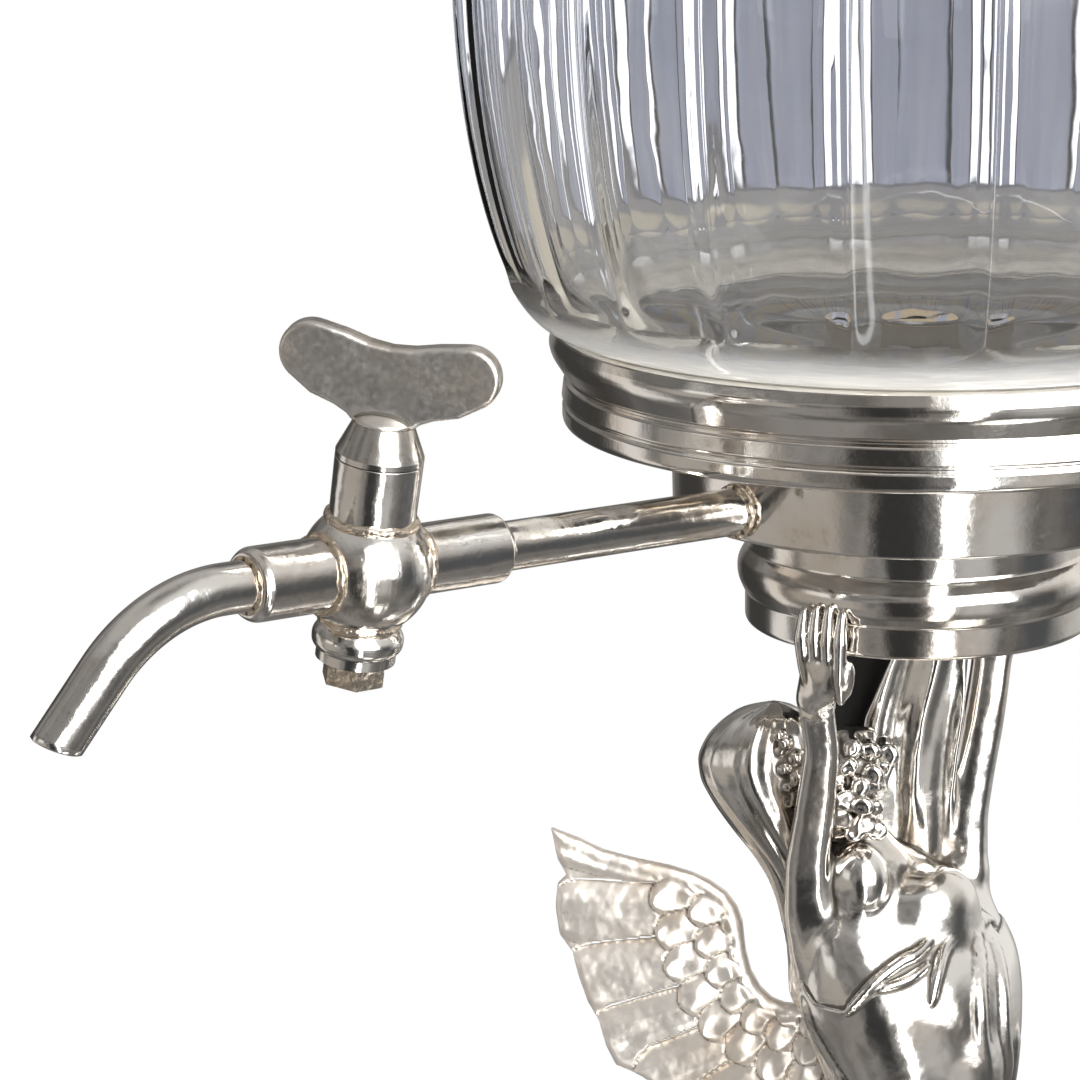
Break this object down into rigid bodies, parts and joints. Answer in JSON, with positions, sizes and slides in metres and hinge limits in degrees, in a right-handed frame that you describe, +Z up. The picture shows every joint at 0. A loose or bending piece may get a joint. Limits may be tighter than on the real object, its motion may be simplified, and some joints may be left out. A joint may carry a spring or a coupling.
{
  "type": "absinthe fountain",
  "caption": "Two-tap drinks fountain: a winged silver-plated figure in a long gown lifts a drum, a cup and a paneled glass bowl of iced water with a domed lid.",
  "frame": {"origin": "centre of the felt pad under the foot, on the table", "axes": "+Z up the axis of the glass; the two taps lie along X; the figure faces -Y"},
  "size_m": [0.4138, 0.1872, 0.4897],
  "materials": {
    "silver": "polished silver plate",
    "aged_silver": "worn silver plate",
    "clear_glass": "polished",
    "seal": "satin",
    "felt": "matt felt",
    "iron": "painted",
    "steel": "plain"
  },
  "bodies": {
    "stand": {"base_pad": "felt", "ballast": "iron", "base": "silver", "base_washer": "steel", "base_bolt": "steel", "gown": "silver", "head": "silver", "hair": "silver", "veil": "silver", "right_arm": "silver", "left_arm": "silver", "right_wing": "silver", "left_wing": "silver", "flange": "silver", "drum": "silver", "flange_screws": "steel", "drum_seal": "seal", "cup": "silver", "glass_disc": "seal", "glass_bowl": "clear_glass", "drain_washer": "seal", "drain_bolt": "silver", "clamp_washer": "seal", "clamp_nut": "silver", "left_pipe": "aged_silver", "left_tap_body": "aged_silver", "left_spout": "aged_silver", "right_pipe": "aged_silver", "right_tap_body": "aged_silver", "right_spout": "aged_silver"},
    "left_key": {"left_key": "aged_silver", "left_handle": "aged_silver", "left_washer": "aged_silver", "left_nut": "aged_silver"},
    "right_key": {"right_key": "aged_silver", "right_handle": "aged_silver", "right_washer": "aged_silver", "right_nut": "aged_silver"},
    "lid": {"lid": "silver", "lid_knob": "silver", "lid_screw": "steel"}
  },
  "joints": [
    {"name": "left_tap", "type": "hinge", "parent": "stand", "child": "left_key", "pos_m": [-0.13911, 0, 0.28201], "axis": [0.043, -0.1685, 0.9848], "range_deg": [-40.6, 49.4]},
    {"name": "right_tap", "type": "hinge", "parent": "stand", "child": "right_key", "pos_m": [0.13911, 0, 0.28201], "axis": [-0.043, 0.1685, 0.9848], "range_deg": [-40.6, 49.4]},
    {"name": "lid_lift", "type": "slide", "parent": "stand", "child": "lid", "axis": [0, 0, 1], "range_m": [0, 0.03]}
  ]
}
